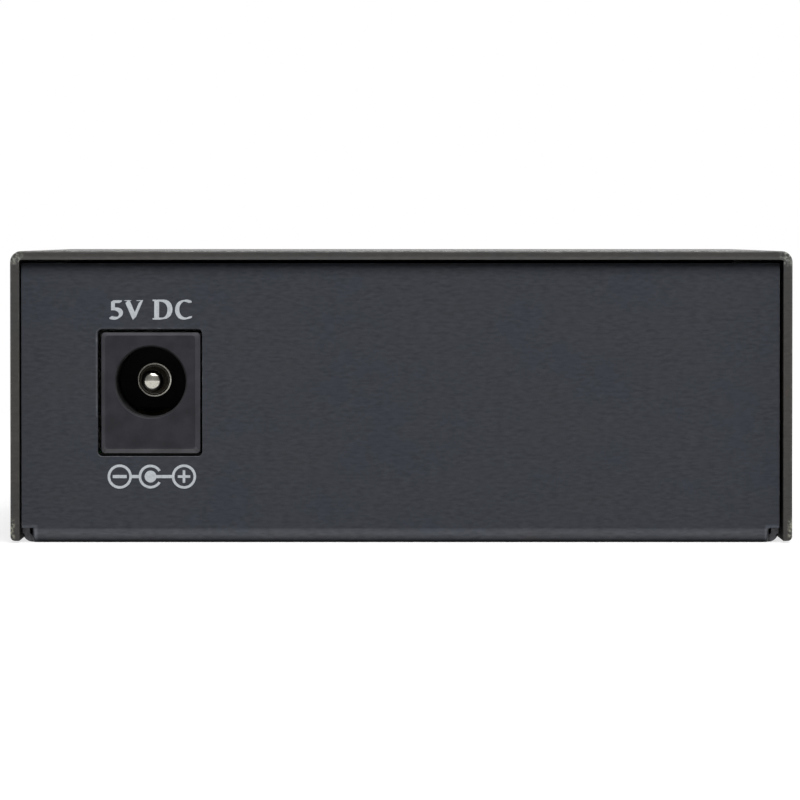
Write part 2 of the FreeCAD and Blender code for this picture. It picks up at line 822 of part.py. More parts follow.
def fibre_sleeve(x):
    """A turned optical barrel: ferrule guide with a blind bore, and the wider sealed can behind the wall."""
    back = port_face - receptacle_depth
    tip = port_face - sleeve_tip_depth
    can_back = back - can_length
    profile = [
        (sleeve_bore_radius, tip), (sleeve_radius, tip), (sleeve_radius, back), (can_radius, back),
        (can_radius, can_back), (0, can_back), (0, tip - sleeve_bore_length),
        (sleeve_bore_radius, tip - sleeve_bore_length),
    ]
    return turned(profile, lambda u, v: Vector(x + u, v, fibre_axis), Vector(x, back, fibre_axis), ALONG)


def fibre_latch(x):
    """A clip on the port's back wall with a hooked finger on each side of the barrel."""
    back = port_face - fibre_port_depth
    tip = port_face - finger_tip_depth
    outer = fibre_port_width / 2 - finger_gap
    inner = outer - finger_thickness
    hook = inner - finger_hook
    plate_height = 2 * (sleeve_radius + finger_thickness)
    plate = box(around(x, 2 * outer), (back, back + finger_plate), around(fibre_axis, plate_height))
    fingers = []
    for side in (-1, 1):
        half = [(outer, back), (outer, tip), (inner, tip), (hook, tip - finger_hook),
                (hook, tip - 2 * finger_hook), (inner, tip - 2 * finger_hook), (inner, back)]
        outline = [(x + side * u, y) for u, y in half]
        fingers.append(prism(outline, plan_view(fibre_axis - finger_height / 2), UP * finger_height))
    opening = 2 * (sleeve_radius + sleeve_fit_gap)
    opening_y = (back - 1, back + finger_plate + 1)
    return joined([plate] + fingers).cut(box(around(x, opening), opening_y, around(fibre_axis, opening)))


def transceiver_lid():
    """A drawn cap over the module's box: top, sides and back."""
    bottom = board_top + module_foot
    top = bottom + receptacle_height
    y_span = (port_face - module_length, port_face - receptacle_depth - lid_gap)
    outer = box(around(fibre_x, module_width), y_span, (top - lid_drop, top))
    inner = box(around(fibre_x, module_width - 2 * lid_sheet), (y_span[0] + lid_sheet, y_span[1] + 1),
                (top - lid_drop - 1, top - lid_sheet))
    return outer.cut(inner)


def transceiver_board():
    """The module's own board, on the ledges of its box."""
    rear = port_face - module_length + lid_sheet + lid_gap + module_wall
    width = module_width - 2 * (lid_sheet + lid_gap + module_wall + module_board_gap)
    level = board_top + module_board_height
    plate = box(around(fibre_x, width), (rear + module_board_gap, rear + module_board_length),
                (level, level + module_board_thickness))
    z_span = (level - 1, level + module_board_thickness + 1)
    return plate.cut([stub(x, y, module_pin_size, module_pin_size, z_span) for x, y in module_pin_places()])


def module_pin(x, y):
    """One straight square pin from the module's board through the main board."""
    top = board_top + module_board_height + module_board_thickness
    return stub(x, y, module_pin_size, module_pin_size, (pin_bottom, top))


# ---- Indicator lamps ----


def lamp_columns_x():
    """The lamp holders' places across the case."""
    return [lamp_x + (i - (lamp_columns - 1) / 2) * lamp_pitch for i in range(lamp_columns)]


def lamp_places():
    """Each lamp's axis, as x and z."""
    return [(x, board_top + height) for x in lamp_columns_x() for height in lamp_heights]


def lamp_back():
    """The Y of the lamps' flat back."""
    return panel_face + lamp_proud - lamp_length


def lead_rows():
    """Each lamp's axis with its place across the case and the Y where its leads turn down."""
    rows = []
    for x in lamp_columns_x():
        for row, height in enumerate(lamp_heights):
            rows.append((x, board_top + height, lamp_back() - lead_first_bend - row * pin_pitch))
    return rows


def lead_places():
    """Where the lamps' leads pass through the board."""
    return [(x + side * lead_spread / 2, y) for x, z, y in lead_rows() for side in (-1, 1)]


def lamp_block(x, z, margin, y_span):
    """A block of the lamps' section, grown by a margin all round."""
    return box(around(x, lamp_width + 2 * margin), y_span, around(z, lamp_height + 2 * margin))


def indicator_lamp(x, z):
    """One lamp: a rectangular lens with a bevelled front, on a rimmed base."""
    back = lamp_back()
    front = panel_face + lamp_proud
    lens = lamp_block(x, z, 0, (back, front))
    lens = lens.makeChamfer(lamp_bevel, [e for e in lens.Edges if abs(e.CenterOfMass.y - front) < 1e-6])
    return joined([lens, lamp_block(x, z, lamp_rim, (back, back + lamp_rim_length))])


def indicator_holder(x):
    """A moulded block that holds two lamps behind the panel."""
    front = panel_inner - holder_panel_gap
    rear = front - holder_depth
    block = box(around(x, holder_width), (rear, front), (board_top, board_top + holder_height))
    seat = lamp_back() + lamp_rim_length
    cutters = []
    for height in lamp_heights:
        z = board_top + height
        cutters.append(lamp_block(x, z, lamp_bore_clearance, (rear - 1, front + 1)))
        cutters.append(lamp_block(x, z, lamp_rim + lamp_bore_clearance, (rear - 1, seat)))
    return block.cut(cutters)


def indicator_lead(x, z, turn_y):
    """One square lead, out of the lamp's back and down through the board."""
    half = lead_size / 2
    outline = [
        (lamp_back(), z + half), (turn_y - half, z + half), (turn_y - half, pin_bottom),
        (turn_y + half, pin_bottom), (turn_y + half, z - half), (lamp_back(), z - half),
    ]
    return prism(outline, side_view(x - half), ACROSS * lead_size)


# ---- Chips and other board parts ----


def lead_rows_of(middle, half_span, count):
    """Two rows of flat leads, on the -Y and +Y sides of a body that half_span reaches to."""
    leads = []
    for i in range(count):
        x = middle[0] + (i - (count - 1) / 2) * lead_pitch
        for side in (-1, 1):
            y_span = sorted((middle[1] + side * half_span, middle[1] + side * (half_span + lead_reach)))
            leads.append(box(around(x, lead_width), y_span, (board_top, board_top + lead_thickness)))
    return leads


def moulded_body(middle, size, height, bevel):
    """A chip's body on the board, with its upper edges bevelled."""
    body = box(around(middle[0], size[0]), around(middle[1], size[1]), (board_top, board_top + height))
    top = [e for e in body.Edges if abs(e.CenterOfMass.z - board_top - height) < 1e-6]
    return body.makeChamfer(bevel, top)


def chip_rows_y():
    """The Y of the two rows of small chip parts, on the free floor between the jack and the module."""
    return (jack_back + chip_row_behind_jack, port_face - module_length - chip_row_before_module)


def chip_middle():
    """The controller stands between the two rows."""
    return (tray_middle + chip_share * board_half_width, sum(chip_rows_y()) / 2)


def converter_chip():
    """The controller's square body, its pads under it."""
    return moulded_body(chip_middle(), (chip_size, chip_size), chip_thickness, chip_bevel)


def transformer_middle():
    """The transformer stands behind the network port."""
    return (network_x, transformer_share * board_half_length)


def line_transformer():
    """The isolating transformer's moulded body."""
    return moulded_body(transformer_middle(), transformer_size, transformer_height, 2 * chip_bevel)


def line_transformer_leads():
    """The transformer's two rows of leads."""
    return group(lead_rows_of(transformer_middle(), transformer_size[1] / 2, transformer_lead_count))


def settings_memory():
    """A small chip with its two rows of leads, moulded as one."""
    middle = on_board(memory_place)
    body = moulded_body(middle, memory_size, memory_thickness, chip_bevel)
    return joined([body] + lead_rows_of(middle, memory_size[1] / 2 - chip_bevel, memory_lead_count))


def clock_crystal():
    """A crystal's ceramic base with its metal lid."""
    x, y = on_board(crystal_place)
    lid_top = board_top + crystal_base + crystal_lid
    base = stub(x, y, crystal_size[0], crystal_size[1], (board_top, board_top + crystal_base))
    lid_x, lid_y = [size - 2 * crystal_margin for size in crystal_size]
    return joined([base, stub(x, y, lid_x, lid_y, (board_top, lid_top))])


def supply_capacitor():
    """An upright can on its square base."""
    x, y = on_board(capacitor_place)
    base = stub(x, y, capacitor_base, capacitor_base, (board_top, board_top + capacitor_base_height))
    return joined([base, rod(capacitor_radius, x, y, (board_top, board_top + capacitor_height))])


def supply_inductor():
    """A shielded inductor: a square block with its corners cut off."""
    x, y = on_board(inductor_place)
    half = inductor_size / 2
    short = half - inductor_corner
    points = [(half, short), (short, half), (-short, half), (-half, short),
              (-half, -short), (-short, -half), (short, -half), (half, -short)]
    return prism([(x + u, y + v) for u, v in points], plan_view(board_top), UP * inductor_height)


def voltage_regulator():
    """A flat regulator: moulded body on its cooling tab, with two leads."""
    x, y = on_board(regulator_place)
    width, length = regulator_size
    low = (board_top, board_top + chip_part_height)
    body = moulded_body((x, y), regulator_size, regulator_thickness, chip_part_height)
    shapes = [body, box(around(x, width - 2 * regulator_tab), (y, y + length / 2 + regulator_tab), low)]
    for side in (-1, 1):
        lead_x = around(x + side * regulator_lead_pitch, regulator_lead_width)
        shapes.append(box(lead_x, (y - length / 2 - 2 * regulator_tab, y), low))
    return joined(shapes)


def chip_resistors():
    """Rows of small chip parts on both sides of the controller."""
    level = (board_top, board_top + chip_part_height)
    parts = []
    for y in chip_rows_y():
        for i in range(chip_part_columns):
            x = chip_middle()[0] + (i - (chip_part_columns - 1) / 2) * chip_part_pitch
            parts.append(stub(x, y, chip_part_width, chip_part_length, level))
    return group(parts)


pieces = {
    "base_tray": base_tray(),
    "top_cover": top_cover(),
    "cover_screws": group([cover_screw(side, y) for side, y in cover_screw_places()]),
    "board_posts": group([board_post(x, y) for x, y in post_places()]),
    "board_screws": group([board_screw(x, y) for x, y in post_places()]),
    "circuit_board": circuit_board(),
    "jack_housing": jack_housing(),
    "jack_centre_pin": jack_centre_pin(),
    "jack_pin_terminal": jack_pin_terminal(),
    "jack_spring_contact": jack_spring_contact(),
    "jack_shunt_contact": jack_shunt_contact(),
    "network_port_body": network_port_body(),
    "network_port_shield": network_port_shield(),
    "network_port_contacts": group([network_contact(x, depth) for x, depth in wire_places()]),
    "transceiver_housing": transceiver_housing(),
    "transceiver_lid": transceiver_lid(),
    "transceiver_board": transceiver_board(),
    "transceiver_pins": group([module_pin(x, y) for x, y in module_pin_places()]),
    "fibre_sleeves": group([fibre_sleeve(x) for x in fibre_places()]),
    "fibre_latches": group([fibre_latch(x) for x in fibre_places()]),
    "indicator_lamps": group([indicator_lamp(x, z) for x, z in lamp_places()]),
    "indicator_holders": group([indicator_holder(x) for x in lamp_columns_x()]),
    "indicator_leads": group([indicator_lead(x + side * lead_spread / 2, z, y)
                              for x, z, y in lead_rows() for side in (-1, 1)]),
    "converter_chip": converter_chip(),
    "line_transformer": line_transformer(),
    "line_transformer_leads": line_transformer_leads(),
    "settings_memory": settings_memory(),
    "clock_crystal": clock_crystal(),
    "supply_capacitor": supply_capacitor(),
    "supply_inductor": supply_inductor(),
    "voltage_regulator": voltage_regulator(),
    "chip_resistors": chip_resistors(),
}

os.makedirs("parts", exist_ok=True)
for name, shape in pieces.items():
    shape.exportStep("parts/" + name + ".step")
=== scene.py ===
import json
import math

import bmesh
import bpy
from mathutils import Matrix, Vector


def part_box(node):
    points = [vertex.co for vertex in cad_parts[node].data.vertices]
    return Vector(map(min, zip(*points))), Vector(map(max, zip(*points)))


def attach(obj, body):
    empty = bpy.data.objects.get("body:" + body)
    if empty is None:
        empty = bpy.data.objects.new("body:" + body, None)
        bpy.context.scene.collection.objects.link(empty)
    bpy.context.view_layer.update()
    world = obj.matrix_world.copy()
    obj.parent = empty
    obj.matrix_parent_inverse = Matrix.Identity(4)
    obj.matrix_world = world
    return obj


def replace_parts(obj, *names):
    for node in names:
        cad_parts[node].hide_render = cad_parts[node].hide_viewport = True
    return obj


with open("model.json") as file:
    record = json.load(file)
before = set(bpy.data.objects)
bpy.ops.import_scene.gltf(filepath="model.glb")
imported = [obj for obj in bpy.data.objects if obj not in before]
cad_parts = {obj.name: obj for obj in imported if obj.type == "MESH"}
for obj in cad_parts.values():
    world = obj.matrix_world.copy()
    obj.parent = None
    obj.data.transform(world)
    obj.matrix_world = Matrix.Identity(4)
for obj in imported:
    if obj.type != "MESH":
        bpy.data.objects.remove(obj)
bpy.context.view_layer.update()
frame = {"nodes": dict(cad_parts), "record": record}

# Lengths are in metres. X runs across the case, Y from its power end at -Y to its port end, and Z up.
MM = 0.001


# ---- Places on the case ----

cover_low, cover_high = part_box("top_cover")
tray_low, tray_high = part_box("base_tray")
jack_low, jack_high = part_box("jack_housing")
pin_low, pin_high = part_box("jack_centre_pin")
screw_low, screw_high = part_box("cover_screws")
lamps_low, lamps_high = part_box("indicator_lamps")
posts_low, posts_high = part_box("board_posts")

case_middle_y = (cover_low.y + cover_high.y) / 2
case_side = cover_high.x
case_end = cover_high.y
case_top = cover_high.z
panel_end = tray_high.y
panel_top_gap = 0.3 * MM
sheet = case_top - tray_high.z - panel_top_gap
screw_level = (screw_high.z + screw_low.z) / 2
jack_x = (jack_low.x + jack_high.x) / 2
bore_height = 6.5 * MM
jack_level = jack_low.z + bore_height


# ---- Finishes ----


def new_finish(name):
    """A material, its node tree and its shader."""
    material = bpy.data.materials.new(name)
    material.use_nodes = True
    tree = material.node_tree
    return material, tree, tree.nodes["Principled BSDF"]


def grain(tree, size, stretch=(1, 1, 1), detail=3.0):
    """Noise of a given size in metres, fixed to the part and drawn out along its axes."""
    place = tree.nodes.new("ShaderNodeTexCoord")
    mapping = tree.nodes.new("ShaderNodeMapping")
    mapping.inputs["Scale"].default_value = [1 / s for s in stretch]
    noise = tree.nodes.new("ShaderNodeTexNoise")
    noise.inputs["Scale"].default_value = 1 / size
    noise.inputs["Detail"].default_value = detail
    tree.links.new(place.outputs["Object"], mapping.inputs["Vector"])
    tree.links.new(mapping.outputs["Vector"], noise.inputs["Vector"])
    return noise.outputs["Fac"]


def tones(tree, value, stops):
    """Colours read off a value: each stop is a share and a colour."""
    ramp = tree.nodes.new("ShaderNodeValToRGB")
    while len(ramp.color_ramp.elements) < len(stops):
        ramp.color_ramp.elements.new(0.5)
    for element, (share, colour) in zip(ramp.color_ramp.elements, stops):
        element.position = share
        element.color = (*colour, 1)
    tree.links.new(value, ramp.inputs["Fac"])
    return ramp.outputs["Color"]


def times(colour, *gains):
    """A colour made stronger or weaker, by one gain or by one for each of its three parts."""
    if len(gains) == 1:
        gains = gains * 3
    return [part * gain for part, gain in zip(colour, gains)]


def spread(tree, value, start, end, low=0.0, high=1.0):
    """A number that runs from low to high while a value runs from start to end."""
    reach = tree.nodes.new("ShaderNodeMapRange")
    for limit, amount in (("From Min", start), ("From Max", end), ("To Min", low), ("To Max", high)):
        reach.inputs[limit].default_value = amount
    tree.links.new(value, reach.inputs["Value"])
    return reach.outputs["Result"]


def scaled(tree, noise, low, high):
    """A grain turned into a number between low and high. Nearly all of a grain lies between 0.3 and 0.7."""
    return spread(tree, noise, 0.3, 0.7, low, high)


def worked_out(tree, operation, first, second):
    """One value made from two."""
    node = tree.nodes.new("ShaderNodeMath")
    node.operation = operation
    tree.links.new(first, node.inputs[0])
    tree.links.new(second, node.inputs[1])
    return node.outputs["Value"]


def blended(tree, share, first, second):
    """Two colours mixed by a share."""
    mix = tree.nodes.new("ShaderNodeMix")
    mix.data_type = "RGBA"
    tree.links.new(share, mix.inputs["Factor"])
    tree.links.new(first, mix.inputs["A"])
    tree.links.new(second, mix.inputs["B"])
    return mix.outputs["Result"]


def place_on_case(tree):
    """Where a point lies on the case: its distances from the middle to the side and to the end, and its height."""
    place = tree.nodes.new("ShaderNodeTexCoord")
    split = tree.nodes.new("ShaderNodeSeparateXYZ")
    tree.links.new(place.outputs["Object"], split.inputs["Vector"])
    distances = {"height": split.outputs["Z"]}
    for name, axis in (("side", "X"), ("end", "Y")):
        distance = tree.nodes.new("ShaderNodeMath")
        distance.operation = "ABSOLUTE"
        tree.links.new(split.outputs[axis], distance.inputs[0])
        distances[name] = distance.outputs["Value"]
    return distances


def region(tree, limits):
    """A share that is whole where a point is past every limit: each has a distance's name, its start and its end."""
    place = place_on_case(tree)
    share = None
    for name, start, end in limits:
        inside = spread(tree, place[name], start, end)
        share = inside if share is None else worked_out(tree, "MULTIPLY", share, inside)
    return share


def roughen(tree, shader, value, depth, strength=0.3):
    """Raises a grain from the surface by a depth in metres."""
    bump = tree.nodes.new("ShaderNodeBump")
    bump.inputs["Strength"].default_value = strength
    bump.inputs["Distance"].default_value = depth
    tree.links.new(value, bump.inputs["Height"])
    tree.links.new(bump.outputs["Normal"], shader.inputs["Normal"])


def powder_coat(name, colour, fleck, gloss, specular=0.05, bare=None):
    """Fine matt powder coat: short level flecks, a cloudy tone, and a pebbled skin, rubbed bare in spots."""
    material, tree, shader = new_finish(name)
    fleck_tones = [(0.34, times(colour, 1 - fleck)), (0.5, colour), (0.68, times(colour, 1 + fleck))]
    flecks = tones(tree, grain(tree, 0.42 * MM, (2.0, 2.0, 0.6)), fleck_tones)
    cool, warm = times(colour, 0.9, 0.98, 1.04), times(colour, 1.08, 1.03, 1.0)
    clouds = tones(tree, grain(tree, 6 * MM, (1.5, 1.5, 1)), [(0.35, cool), (0.65, warm)])
    coat = blended(tree, scaled(tree, grain(tree, 1.3 * MM), 0.2, 0.7), flecks, clouds)
    if bare is not None:
        spots = tones(tree, grain(tree, 0.9 * MM, detail=5.0), [(0.56, (0, 0, 0)), (0.7, (1, 1, 1))])
        steel = tones(tree, grain(tree, 0.2 * MM), [(0.3, times(bare, 0.7)), (0.7, bare)])
        coat = blended(tree, spots, coat, steel)
    tree.links.new(coat, shader.inputs["Base Color"])
    skin = grain(tree, 0.3 * MM, (1.4, 1.4, 1), 4.0)
    tree.links.new(scaled(tree, skin, gloss + 0.08, gloss - 0.08), shader.inputs["Roughness"])
    shader.inputs["Specular IOR Level"].default_value = specular
    roughen(tree, shader, skin, 0.02 * MM)
    return material, coat


def recoated(material, coat):
    """Gives a finish a new colour."""
    tree = material.node_tree
    tree.links.new(coat, tree.nodes["Principled BSDF"].inputs["Base Color"])
    return material, coat


def painted_highlight_places(finish, limits, gain):
    """Pales a coat in given places, with a gain for each colour: a painted highlight."""
    material, coat = finish
    tree = material.node_tree
    paler = tree.nodes.new("ShaderNodeVectorMath")
    paler.operation = "MULTIPLY"
    paler.inputs[1].default_value = gain
    tree.links.new(coat, paler.inputs[0])
    return recoated(material, blended(tree, region(tree, limits), coat, paler.outputs["Vector"]))


def rubbed_and_highlit_places(finish, limits, bare):
    """Rubs a coat bare in small spots at its exposed corners: worn paint, which also stands as a painted highlight
    where the rounded corners catch the light.
    """
    material, coat = finish
    tree = material.node_tree
    spots = tones(tree, grain(tree, 0.25 * MM, detail=4.0), [(0.44, (0, 0, 0)), (0.62, (1, 1, 1))])
    steel = tones(tree, grain(tree, 0.1 * MM), [(0.3, times(bare, 0.6)), (0.7, bare)])
    worn = worked_out(tree, "MULTIPLY", spots, region(tree, limits))
    return recoated(material, blended(tree, worn, coat, steel))


def moulded(name, colour, gloss, specular=0.4):
    """Moulded plastic: a faint cloud in its tone and a fine spark-eroded skin."""
    material, tree, shader = new_finish(name)
    clouds = tones(tree, grain(tree, 1.6 * MM), [(0.36, times(colour, 0.86)), (0.64, times(colour, 1.16))])
    tree.links.new(clouds, shader.inputs["Base Color"])
    skin = grain(tree, 0.16 * MM)
    tree.links.new(scaled(tree, skin, gloss + 0.06, gloss - 0.06), shader.inputs["Roughness"])
    shader.inputs["Specular IOR Level"].default_value = specular
    roughen(tree, shader, skin, 0.012 * MM)
    return material


def metal(name, colour, gloss, lay=(1, 1, 1), size=0.3, depth=0.004):
    """Plated or turned metal: dull and bright streaks along its lay, and fine tool marks. Sizes are in millimetres."""
    material, tree, shader = new_finish(name)
    shader.inputs["Metallic"].default_value = 1.0
    bright = [min(1.0, part) for part in times(colour, 1.08)]
    streaks = grain(tree, size * MM, lay, 4.0)
    lay_tones = tones(tree, streaks, [(0.35, times(colour, 0.82)), (0.62, bright)])
    tree.links.new(lay_tones, shader.inputs["Base Color"])
    tree.links.new(scaled(tree, streaks, gloss + 0.07, gloss - 0.05), shader.inputs["Roughness"])
    roughen(tree, shader, grain(tree, size * 0.4 * MM, lay, 2.0), depth * MM)
    return material


def board_mask(name, board_rear):
    """Green solder mask: copper tracks show through it as lighter lines and pads. The rear rim is painted near black,
    painted shade for the narrow gap it is seen through.
    """
    material, tree, shader = new_finish(name)
    mask = tones(tree, grain(tree, 0.9 * MM), [(0.3, (0.006, 0.06, 0.024)), (0.7, (0.01, 0.085, 0.034))])
    place = tree.nodes.new("ShaderNodeTexCoord")
    tracks = tree.nodes.new("ShaderNodeTexBrick")
    tracks.inputs["Scale"].default_value = 260
    tracks.inputs["Mortar Size"].default_value = 0.09
    tracks.inputs["Color1"].default_value = (0.012, 0.1, 0.04, 1)
    tracks.inputs["Color2"].default_value = (0.012, 0.11, 0.045, 1)
    tracks.inputs["Mortar"].default_value = (0.03, 0.2, 0.07, 1)
    tree.links.new(place.outputs["Object"], tracks.inputs["Vector"])
    share = scaled(tree, grain(tree, 4 * MM, (1, 3, 1)), 0.0, 0.9)
    masked = blended(tree, share, mask, tracks.outputs["Color"])
    split = tree.nodes.new("ShaderNodeSeparateXYZ")
    tree.links.new(place.outputs["Object"], split.inputs["Vector"])
    rim = spread(tree, split.outputs["Y"], board_rear + 1.5 * MM, board_rear + 1.2 * MM)
    # Near black on the rear rim: painted shade.
    shaded_rim_tone = tones(tree, grain(tree, 0.3 * MM), [(0.35, (0.004, 0.005, 0.004)), (0.65, (0.008, 0.009, 0.007))])
    tree.links.new(blended(tree, rim, masked, shaded_rim_tone), shader.inputs["Base Color"])
    shader.inputs["Specular IOR Level"].default_value = 0.2
    shader.inputs["Roughness"].default_value = 0.35
    roughen(tree, shader, tracks.outputs["Fac"], 0.02 * MM, 0.4)
    return material


def tinted_resin(name, colour):
    """Tinted lamp resin, milky, with a smooth skin."""
    material, tree, shader = new_finish(name)
    depths = tones(tree, grain(tree, 3 * MM), [(0.35, times(colour, 0.88)), (0.65, colour)])
    tree.links.new(depths, shader.inputs["Base Color"])
    shader.inputs["Transmission Weight"].default_value = 0.12
    shader.inputs["IOR"].default_value = 1.5
    haze = grain(tree, 1.5 * MM)
    tree.links.new(scaled(tree, haze, 0.2, 0.26), shader.inputs["Roughness"])
    roughen(tree, shader, haze, 0.004 * MM, 0.1)
    return material


def screen_ink(name, colour):
    """Screen-printed ink: a slightly uneven film."""
    material, tree, shader = new_finish(name)
    film = grain(tree, 0.14 * MM)
    tree.links.new(tones(tree, film, [(0.35, times(colour, 0.82)), (0.62, colour)]), shader.inputs["Base Color"])
    tree.links.new(scaled(tree, film, 0.5, 0.65), shader.inputs["Roughness"])
    shader.inputs["Specular IOR Level"].default_value = 0.3
    roughen(tree, shader, film, 0.01 * MM, 0.4)
    return material


def inward(face, start, end):
    """Two places inward of a face of the case, by lengths in millimetres."""
    return face - start * MM, face - end * MM


# The outside of the tray's end bends, paled as a painted highlight for light from the floor in front, though not at
# the very foot, and the sides of its corner notches, paled a little as a painted highlight.
end_bends = [("end", *inward(panel_end, 1.35, 1.15)), ("height", 0.08 * MM, 0.38 * MM),
             ("height", 1.35 * MM, 0.35 * MM)]
notch_sides = [("end", *inward(panel_end, 1.0, 0.8)), ("side", *inward(case_side, 2.5, 2.3)),
               ("height", 1.65 * MM, 1.5 * MM)]
# The inner line of the cover's lip, paled as a painted highlight, and the upper corners of its ends and the outer
# lower corners of its sides, rubbed bare in spots that are also a painted highlight.
lip_line = [("end", *inward(case_end, 0.5, 0.3)), ("height", *inward(case_top, 1.1, 0.9)),
            ("height", *inward(case_top, 0.42, 0.62))]
upper_corners = [("end", *inward(case_end, 0.7, 0.4)), ("side", *inward(case_side, 1.3, 0.8)),
                 ("height", *inward(case_top, 1.5, 0.9))]
lower_corners = [("end", *inward(case_end, 1.0, 0.4)), ("side", *inward(case_side, 0.5, 0.25)),
                 ("height", 0.2 * MM, 0.4 * MM), ("height", 2.3 * MM, 1.8 * MM)]

case_coat = powder_coat("case_paint", (0.036, 0.0385, 0.0455), 0.22, 0.62)
# Painted highlights: the tray's end bends much paler, the sides of its notches a little paler.
case_coat = painted_highlight_places(case_coat, end_bends, (4.3, 4.15, 3.9))
case_coat = painted_highlight_places(case_coat, notch_sides, (1.7, 1.7, 1.7))
cover_coat = powder_coat("cover_paint", (0.0505, 0.0482, 0.0455), 0.18, 0.66, 0.03)
# A painted highlight along the inner line of the lip.
cover_coat = painted_highlight_places(cover_coat, lip_line, (1.38, 1.4, 1.42))
# Pale spots at the corners: worn paint and a painted highlight.
cover_coat = rubbed_and_highlit_places(cover_coat, upper_corners, (0.24, 0.24, 0.215))
cover_coat = rubbed_and_highlit_places(cover_coat, lower_corners, (0.26, 0.26, 0.215))
cover_rim = powder_coat("cover_edge", (0.052, 0.051, 0.049), 0.35, 0.42, 0.12, (0.1, 0.099, 0.094))
cover_rim = rubbed_and_highlit_places(cover_rim, upper_corners, (0.3, 0.3, 0.27))
cover_rim = rubbed_and_highlit_places(cover_rim, lower_corners, (0.32, 0.32, 0.25))
# The tray's rounded edges: a coat paler than the panel's, a painted highlight along them, rubbed bare in flecks.
tray_rim = powder_coat("tray_edge", (0.049, 0.052, 0.06), 0.3, 0.42, 0.2, (0.12, 0.125, 0.135))

finishes = {
    "case_paint": case_coat[0],
    "cover_paint": cover_coat[0],
    "tray_edge": tray_rim[0],
    "cover_edge": cover_rim[0],
    "black_steel": metal("black_steel", (0.055, 0.055, 0.058), 0.42),
    "sheared_edge": metal("sheared_edge", (0.14, 0.138, 0.15), 0.42),
    "plated_steel": metal("plated_steel", (0.6, 0.6, 0.58), 0.3, (6, 1, 1)),
    "plated_brass": metal("plated_brass", (0.72, 0.7, 0.62), 0.15, (1, 5, 1), 0.12, 0.001),
    # The spring bronze is far darker than bronze: painted shade, for the contact and the pin's collar deep in the
    # bore.
    "spring_bronze": metal("spring_bronze", (0.07, 0.06, 0.045), 0.5, (1, 5, 1), 0.12, 0.002),
    "gold_contact": metal("gold_contact", (0.85, 0.6, 0.24), 0.2, (1, 6, 1), 0.1, 0.002),
    "sleeve_metal": metal("sleeve_metal", (0.6, 0.6, 0.58), 0.26, (1, 0.3, 1), 0.2),
    "capacitor_can": metal("capacitor_can", (0.55, 0.55, 0.56), 0.28, (1, 1, 4)),
    "black_plastic": moulded("black_plastic", (0.0235, 0.0233, 0.0275), 0.5, 0.08),
    # The jack's paler plastics: on its chamfers a painted highlight, and on its bottom chamfer a painted reflection of
    # the floor. Its darker plastic in the bore is painted shade.
    "edge_highlight_plastic": moulded("edge_highlight_plastic", (0.037, 0.0365, 0.042), 0.5, 0.1),
    "foot_reflection_plastic": moulded("foot_reflection_plastic", (0.062, 0.061, 0.067), 0.5, 0.1),
    "shaded_bore_plastic": moulded("shaded_bore_plastic", (0.014, 0.0138, 0.0145), 0.5, 0.12),
    "receptacle_plastic": moulded("receptacle_plastic", (0.014, 0.014, 0.016), 0.42),
    "pale_plastic": moulded("pale_plastic", (0.6, 0.59, 0.54), 0.4),
    "chip_resin": moulded("chip_resin", (0.018, 0.018, 0.018), 0.55),
    "ferrite": moulded("ferrite", (0.045, 0.044, 0.042), 0.7),
    "board_laminate": board_mask("board_laminate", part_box("circuit_board")[0].y),
    "lamp_resin": tinted_resin("lamp_resin", (0.1, 0.27, 0.09)),
    "print_ink": screen_ink("print_ink", (0.42, 0.446, 0.474)),
}

node_slots = {part["node"]: part["material_slot"] for part in frame["record"]["subparts"]}
for node_name, node in frame["nodes"].items():
    node.material_slots[0].material = finishes[node_slots[node_name]]


# ---- Making pieces ----

# What counts as one point, and the folds, in degrees, that count as flat, are rounded, and show as an edge.
SAME_POINT = 0.0005 * MM
FLAT_FOLD = 0.5
ROUNDED_FOLD = 30
SHOWN_FOLD = 40
KEEN_SHARE = 0.25


def add_piece(name, work, wears):
    """A piece from a bmesh, with its finishes on it, that moves with the case."""
    mesh = bpy.data.meshes.new(name)
    work.to_mesh(mesh)
    work.free()
    for finish in wears:
        mesh.materials.append(finishes[finish])
    mesh.set_sharp_from_angle(angle=math.radians(SHOWN_FOLD))
    piece = bpy.data.objects.new(name, mesh)
    bpy.context.scene.collection.objects.link(piece)
    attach(piece, "root")
    return piece


def put_in(work, part):
    """Adds one bmesh to another, and frees it."""
    mesh = bpy.data.meshes.new("part")
    part.to_mesh(mesh)
    part.free()
    work.from_mesh(mesh)
    bpy.data.meshes.remove(mesh)


def raised_verts(made):
    """The new verts of an extrusion."""
    return [item for item in made["geom"] if isinstance(item, bmesh.types.BMVert)]


def bevelled(work, edges, offset, steps):
    """Rounds edges, and gives back the new faces."""
    made = bmesh.ops.bevel(work, geom=edges, offset=offset, offset_type="OFFSET", segments=steps, profile=0.5,
                           affect="EDGES", clamp_overlap=False, material=-1)
    return made["faces"]


def merged_copy(node_name, cuts=()):
    """A CAD node's mesh with its loose triangles joined into whole faces.

    Each cut, an axis and a level, goes through the middle of holes, so that no face has a hole inside it.
    """
    work = bmesh.new()
    work.from_mesh(frame["nodes"][node_name].data)
    bmesh.ops.remove_doubles(work, verts=work.verts, dist=SAME_POINT)
    for axis, level in cuts:
        across = Vector((axis == "x", axis == "y", axis == "z"))
        everything = work.verts[:] + work.edges[:] + work.faces[:]
        made = bmesh.ops.bisect_plane(work, geom=everything, dist=SAME_POINT, plane_co=across * level, plane_no=across)
        for item in made["geom_cut"]:
            if isinstance(item, bmesh.types.BMEdge):
                item.seam = True
    bmesh.ops.dissolve_limit(work, angle_limit=math.radians(FLAT_FOLD), verts=work.verts, edges=work.edges,
                             use_dissolve_boundaries=False, delimit={"NORMAL", "SEAM"})
    return work


